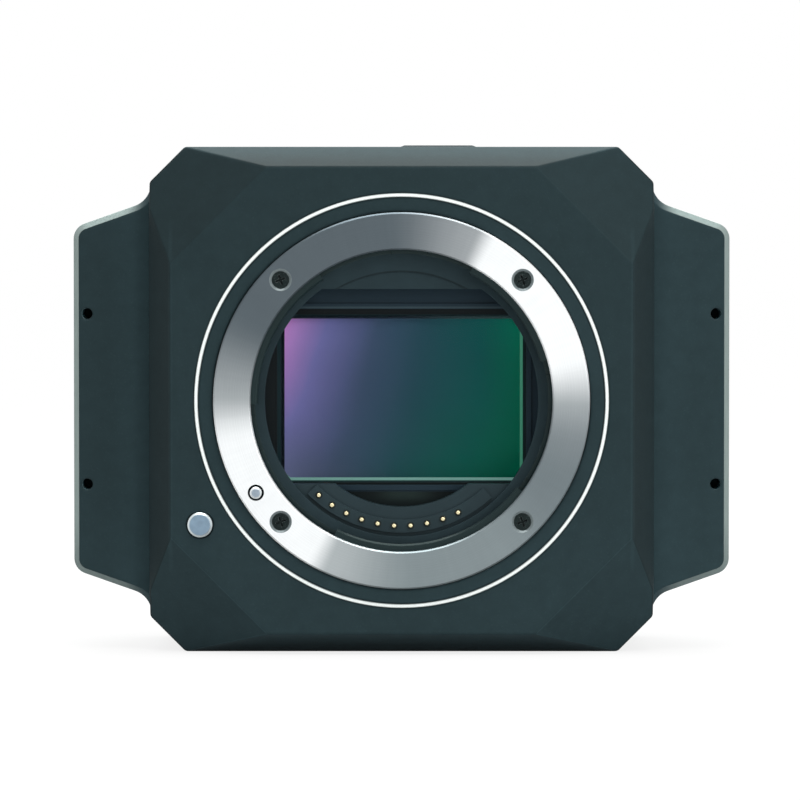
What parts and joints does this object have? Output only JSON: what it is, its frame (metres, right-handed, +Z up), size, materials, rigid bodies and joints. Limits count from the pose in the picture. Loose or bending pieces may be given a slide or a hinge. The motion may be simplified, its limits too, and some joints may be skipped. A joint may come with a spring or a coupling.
{
  "type": "aerial mapping camera",
  "caption": "Square metal camera body without a lens, with wings at both sides, a steel bayonet mount, sprung lens contacts, a blade shutter, an image sensor and a finned back.",
  "frame": {"origin": "centre of the lens mount on its flange plane, where the lens axis meets the front of the steel ring", "axes": "+X to the right seen from the front, +Y backwards along the lens axis into the camera, +Z up; the lens side faces -Y"},
  "size_m": [0.1068, 0.0469, 0.0821],
  "materials": {
    "housing": "satin, fine-textured dark blue-grey coating",
    "cover": "satin dark blue-grey coating",
    "mount_steel": "turned, bright",
    "claw_black": "black, glossy",
    "leaf_steel": "spring steel",
    "screw_black": "black oxide",
    "screw_steel": "plain",
    "trim_white": "white inlay",
    "release_metal": "satin",
    "pin_metal": "turned",
    "throat_black": "matt black",
    "contact_black": "satin black",
    "contact_gold": "gold plated",
    "copper_alloy": "plain",
    "shutter_metal": "dark anodised",
    "blade_black": "matt black",
    "mask_black": "matt black",
    "filter": "polished, coated",
    "ceramic": "matt ceramic",
    "silicon": "iridescent",
    "carrier_metal": "milled",
    "board_green": "solder mask",
    "chip_black": "moulded",
    "pad_grey": "soft",
    "seal_rubber": "matt",
    "port_metal": "plated",
    "connector_metal": "black chrome",
    "button_black": "satin",
    "light_pipe": "clear",
    "flap_rubber": "matt"
  },
  "bodies": {
    "camera_body": {"front_housing": "housing", "mount_ring": "mount_steel", "claw_ring": "claw_black", "mount_spring": "claw_black", "mount_screws": "screw_black", "trim_ring": "trim_white", "throat_baffle": "throat_black", "contact_block": "contact_black", "contact_comb": "copper_alloy", "release_springs": "leaf_steel", "shutter_base_plate": "shutter_metal", "shutter_separator": "shutter_metal", "shutter_cover_plate": "shutter_metal", "shutter_drive": "contact_black", "internal_screws": "screw_steel", "filter_glass": "filter", "sensor_mask": "mask_black", "sensor_package": "ceramic", "sensor_die": "silicon", "sensor_carrier": "carrier_metal", "sensor_board": "board_green", "thermal_pad": "pad_grey", "main_board": "board_green", "board_chips": "chip_black", "rear_cover": "cover", "rear_gasket": "seal_rubber", "cover_screws": "screw_black", "io_connector": "connector_metal", "usb_port": "port_metal", "hdmi_port": "port_metal", "status_light": "light_pipe", "card_socket": "port_metal", "port_flap": "flap_rubber"},
    "lens_release": {"release_button": "release_metal", "lock_pin": "pin_metal", "release_plate": "leaf_steel"},
    "power_key": {"power_button": "button_black"},
    "contact_pin_01": {"contact_pin_01": "contact_gold"},
    "contact_pin_02": {"contact_pin_02": "contact_gold"},
    "contact_pin_03": {"contact_pin_03": "contact_gold"},
    "contact_pin_04": {"contact_pin_04": "contact_gold"},
    "contact_pin_05": {"contact_pin_05": "contact_gold"},
    "contact_pin_06": {"contact_pin_06": "contact_gold"},
    "contact_pin_07": {"contact_pin_07": "contact_gold"},
    "contact_pin_08": {"contact_pin_08": "contact_gold"},
    "contact_pin_09": {"contact_pin_09": "contact_gold"},
    "contact_pin_10": {"contact_pin_10": "contact_gold"},
    "lower_main_arm": {"lower_main_arm": "leaf_steel"},
    "lower_link_arm": {"lower_link_arm": "leaf_steel"},
    "lower_blade_1": {"lower_blade_1": "blade_black"},
    "lower_blade_2": {"lower_blade_2": "blade_black"},
    "lower_blade_3": {"lower_blade_3": "blade_black"},
    "lower_blade_4": {"lower_blade_4": "blade_black"},
    "upper_main_arm": {"upper_main_arm": "leaf_steel"},
    "upper_link_arm": {"upper_link_arm": "leaf_steel"},
    "upper_blade_1": {"upper_blade_1": "blade_black"},
    "upper_blade_2": {"upper_blade_2": "blade_black"},
    "upper_blade_3": {"upper_blade_3": "blade_black"},
    "upper_blade_4": {"upper_blade_4": "blade_black"}
  },
  "joints": [
    {"name": "lens_release_slide", "type": "slide", "parent": "camera_body", "child": "lens_release", "axis": [0, 1, 0], "range_m": [0, 0.0016], "stiffness_N_per_m": 500, "springref_m": -0.0012, "deforming": ["release_springs"]},
    {"name": "power_button_slide", "type": "slide", "parent": "camera_body", "child": "power_key", "axis": [0, -1, 0], "range_m": [0, 0.0005], "stiffness_N_per_m": 800, "springref_m": -0.001},
    {"name": "contact_pin_01_slide", "type": "slide", "parent": "camera_body", "child": "contact_pin_01", "axis": [0, 1, 0], "range_m": [0, 0.0006], "stiffness_N_per_m": 300, "springref_m": -0.0005, "deforming": ["contact_comb"]},
    {"name": "contact_pin_02_slide", "type": "slide", "parent": "camera_body", "child": "contact_pin_02", "axis": [0, 1, 0], "range_m": [0, 0.0006], "stiffness_N_per_m": 300, "springref_m": -0.0005, "deforming": ["contact_comb"]},
    {"name": "contact_pin_03_slide", "type": "slide", "parent": "camera_body", "child": "contact_pin_03", "axis": [0, 1, 0], "range_m": [0, 0.0006], "stiffness_N_per_m": 300, "springref_m": -0.0005, "deforming": ["contact_comb"]},
    {"name": "contact_pin_04_slide", "type": "slide", "parent": "camera_body", "child": "contact_pin_04", "axis": [0, 1, 0], "range_m": [0, 0.0006], "stiffness_N_per_m": 300, "springref_m": -0.0005, "deforming": ["contact_comb"]},
    {"name": "contact_pin_05_slide", "type": "slide", "parent": "camera_body", "child": "contact_pin_05", "axis": [0, 1, 0], "range_m": [0, 0.0006], "stiffness_N_per_m": 300, "springref_m": -0.0005, "deforming": ["contact_comb"]},
    {"name": "contact_pin_06_slide", "type": "slide", "parent": "camera_body", "child": "contact_pin_06", "axis": [0, 1, 0], "range_m": [0, 0.0006], "stiffness_N_per_m": 300, "springref_m": -0.0005, "deforming": ["contact_comb"]},
    {"name": "contact_pin_07_slide", "type": "slide", "parent": "camera_body", "child": "contact_pin_07", "axis": [0, 1, 0], "range_m": [0, 0.0006], "stiffness_N_per_m": 300, "springref_m": -0.0005, "deforming": ["contact_comb"]},
    {"name": "contact_pin_08_slide", "type": "slide", "parent": "camera_body", "child": "contact_pin_08", "axis": [0, 1, 0], "range_m": [0, 0.0006], "stiffness_N_per_m": 300, "springref_m": -0.0005, "deforming": ["contact_comb"]},
    {"name": "contact_pin_09_slide", "type": "slide", "parent": "camera_body", "child": "contact_pin_09", "axis": [0, 1, 0], "range_m": [0, 0.0006], "stiffness_N_per_m": 300, "springref_m": -0.0005, "deforming": ["contact_comb"]},
    {"name": "contact_pin_10_slide", "type": "slide", "parent": "camera_body", "child": "contact_pin_10", "axis": [0, 1, 0], "range_m": [0, 0.0006], "stiffness_N_per_m": 300, "springref_m": -0.0005, "deforming": ["contact_comb"]},
    {"name": "lower_curtain_swing", "type": "hinge", "parent": "camera_body", "child": "lower_main_arm", "pos_m": [-0.035, 0.0109, -0.0023], "axis": [0, -1, 0], "range_deg": [0, 108]},
    {"name": "lower_link_swing", "type": "hinge", "parent": "camera_body", "child": "lower_link_arm", "pos_m": [-0.035, 0.0109, -0.0073], "axis": [0, -1, 0], "range_deg": [0, 108]},
    {"name": "lower_blade_1_pivot", "type": "hinge", "parent": "lower_main_arm", "child": "lower_blade_1", "pos_m": [-0.02476, 0.0109, -0.0164], "axis": [0, -1, 0], "range_deg": [-108, 0]},
    {"name": "lower_blade_2_pivot", "type": "hinge", "parent": "lower_main_arm", "child": "lower_blade_2", "pos_m": [-0.02732, 0.0109, -0.01287], "axis": [0, -1, 0], "range_deg": [-108, 0]},
    {"name": "lower_blade_3_pivot", "type": "hinge", "parent": "lower_main_arm", "child": "lower_blade_3", "pos_m": [-0.02988, 0.0109, -0.00935], "axis": [0, -1, 0], "range_deg": [-108, 0]},
    {"name": "lower_blade_4_pivot", "type": "hinge", "parent": "lower_main_arm", "child": "lower_blade_4", "pos_m": [-0.03244, 0.0109, -0.00583], "axis": [0, -1, 0], "range_deg": [-108, 0]},
    {"name": "upper_curtain_swing", "type": "hinge", "parent": "camera_body", "child": "upper_main_arm", "pos_m": [-0.035, 0.0131, 0.0023], "axis": [0, 1, 0], "range_deg": [0, 108]},
    {"name": "upper_link_swing", "type": "hinge", "parent": "camera_body", "child": "upper_link_arm", "pos_m": [-0.035, 0.0131, 0.0073], "axis": [0, 1, 0], "range_deg": [0, 108]},
    {"name": "upper_blade_1_pivot", "type": "hinge", "parent": "upper_main_arm", "child": "upper_blade_1", "pos_m": [-0.02476, 0.0131, 0.0164], "axis": [0, 1, 0], "range_deg": [-108, 0]},
    {"name": "upper_blade_2_pivot", "type": "hinge", "parent": "upper_main_arm", "child": "upper_blade_2", "pos_m": [-0.02732, 0.0131, 0.01287], "axis": [0, 1, 0], "range_deg": [-108, 0]},
    {"name": "upper_blade_3_pivot", "type": "hinge", "parent": "upper_main_arm", "child": "upper_blade_3", "pos_m": [-0.02988, 0.0131, 0.00935], "axis": [0, 1, 0], "range_deg": [-108, 0]},
    {"name": "upper_blade_4_pivot", "type": "hinge", "parent": "upper_main_arm", "child": "upper_blade_4", "pos_m": [-0.03244, 0.0131, 0.00583], "axis": [0, 1, 0], "range_deg": [-108, 0]}
  ],
  "couplings": [
    {"joint": "lower_link_swing", "follows": "lower_curtain_swing", "ratio": 1},
    {"joint": "lower_blade_1_pivot", "follows": "lower_curtain_swing", "ratio": -1},
    {"joint": "lower_blade_2_pivot", "follows": "lower_curtain_swing", "ratio": -1},
    {"joint": "lower_blade_3_pivot", "follows": "lower_curtain_swing", "ratio": -1},
    {"joint": "lower_blade_4_pivot", "follows": "lower_curtain_swing", "ratio": -1},
    {"joint": "upper_link_swing", "follows": "upper_curtain_swing", "ratio": 1},
    {"joint": "upper_blade_1_pivot", "follows": "upper_curtain_swing", "ratio": -1},
    {"joint": "upper_blade_2_pivot", "follows": "upper_curtain_swing", "ratio": -1},
    {"joint": "upper_blade_3_pivot", "follows": "upper_curtain_swing", "ratio": -1},
    {"joint": "upper_blade_4_pivot", "follows": "upper_curtain_swing", "ratio": -1}
  ]
}
